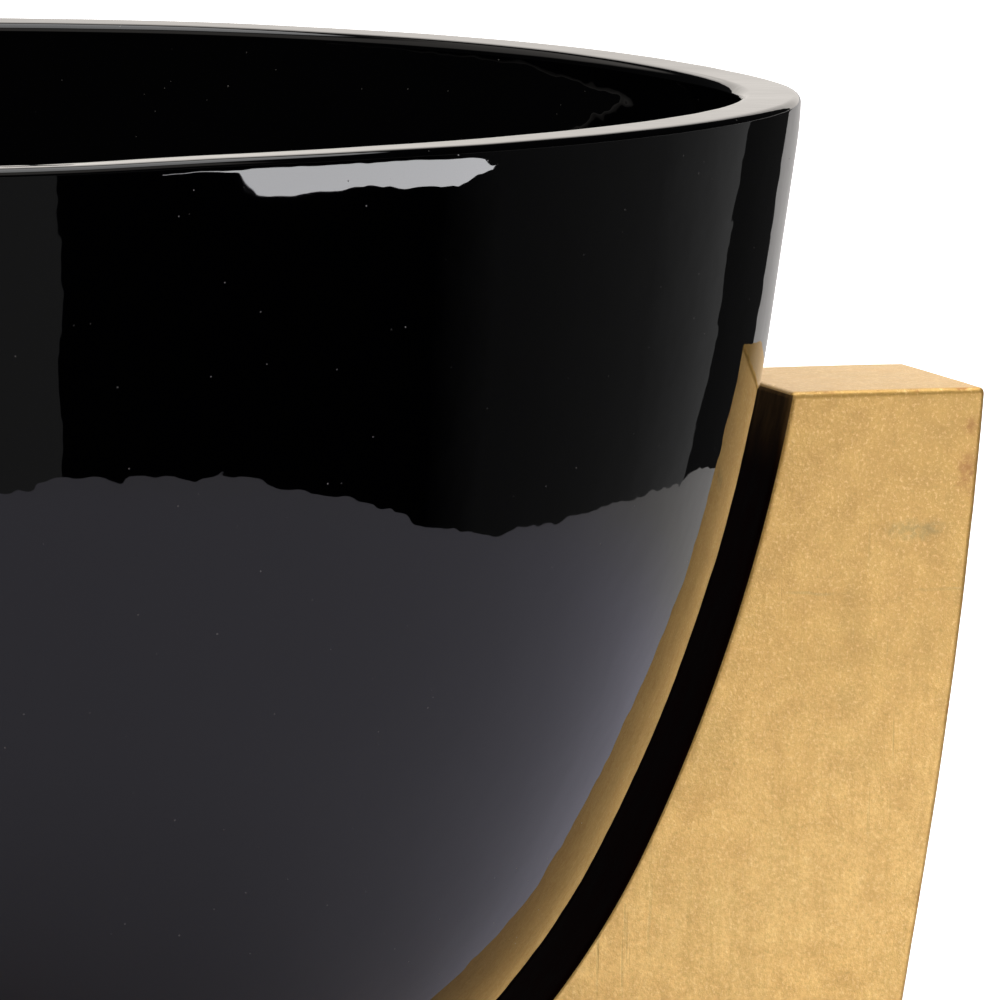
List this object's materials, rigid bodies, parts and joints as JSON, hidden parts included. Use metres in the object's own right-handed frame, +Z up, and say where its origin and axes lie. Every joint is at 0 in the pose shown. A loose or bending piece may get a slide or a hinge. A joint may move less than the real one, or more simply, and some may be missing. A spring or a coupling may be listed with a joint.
{
  "type": "decorative bowl on stand",
  "caption": "Deep glossy black bowl with a thick flat rim, resting in a gold-leafed wooden stand of slab arms whose inner edges follow the bowl.",
  "frame": {"origin": "on the bowl's axis, at the level of the surface that the feet stand on", "axes": "+Z up along the bowl's axis; one arm points along -Y, the other two at 30 and 150 degrees from +X"},
  "size_m": [0.3526, 0.3448, 0.262],
  "materials": {
    "black_glaze": "high gloss, slightly wavy glaze",
    "gold_leaf": "satin gold leaf over red-brown bole, lightly worn",
    "beech": "raw",
    "zinc_steel": "zinc plated",
    "felt": "pressed wool felt"
  },
  "bodies": {
    "stand": {"arm_front": "gold_leaf", "arm_right": "gold_leaf", "arm_left": "gold_leaf", "hub_block": "gold_leaf", "seat_block": "gold_leaf", "seat_felt": "felt", "tee_nut": "zinc_steel", "centre_bolt": "zinc_steel", "centre_washer": "zinc_steel", "spider_plate": "zinc_steel", "centre_foot": "gold_leaf", "arm_screws": "zinc_steel", "hub_screws": "zinc_steel", "dowels_front": "beech", "dowels_right": "beech", "dowels_left": "beech", "foot_pad_front": "felt", "foot_pad_right": "felt", "foot_pad_left": "felt", "foot_pad_centre": "felt"},
    "bowl": {"bowl": "black_glaze"}
  },
  "joints": [
    {"name": "bowl_lift", "type": "slide", "parent": "stand", "child": "bowl", "axis": [0, 0, 1], "range_m": [0, 0.18]}
  ]
}
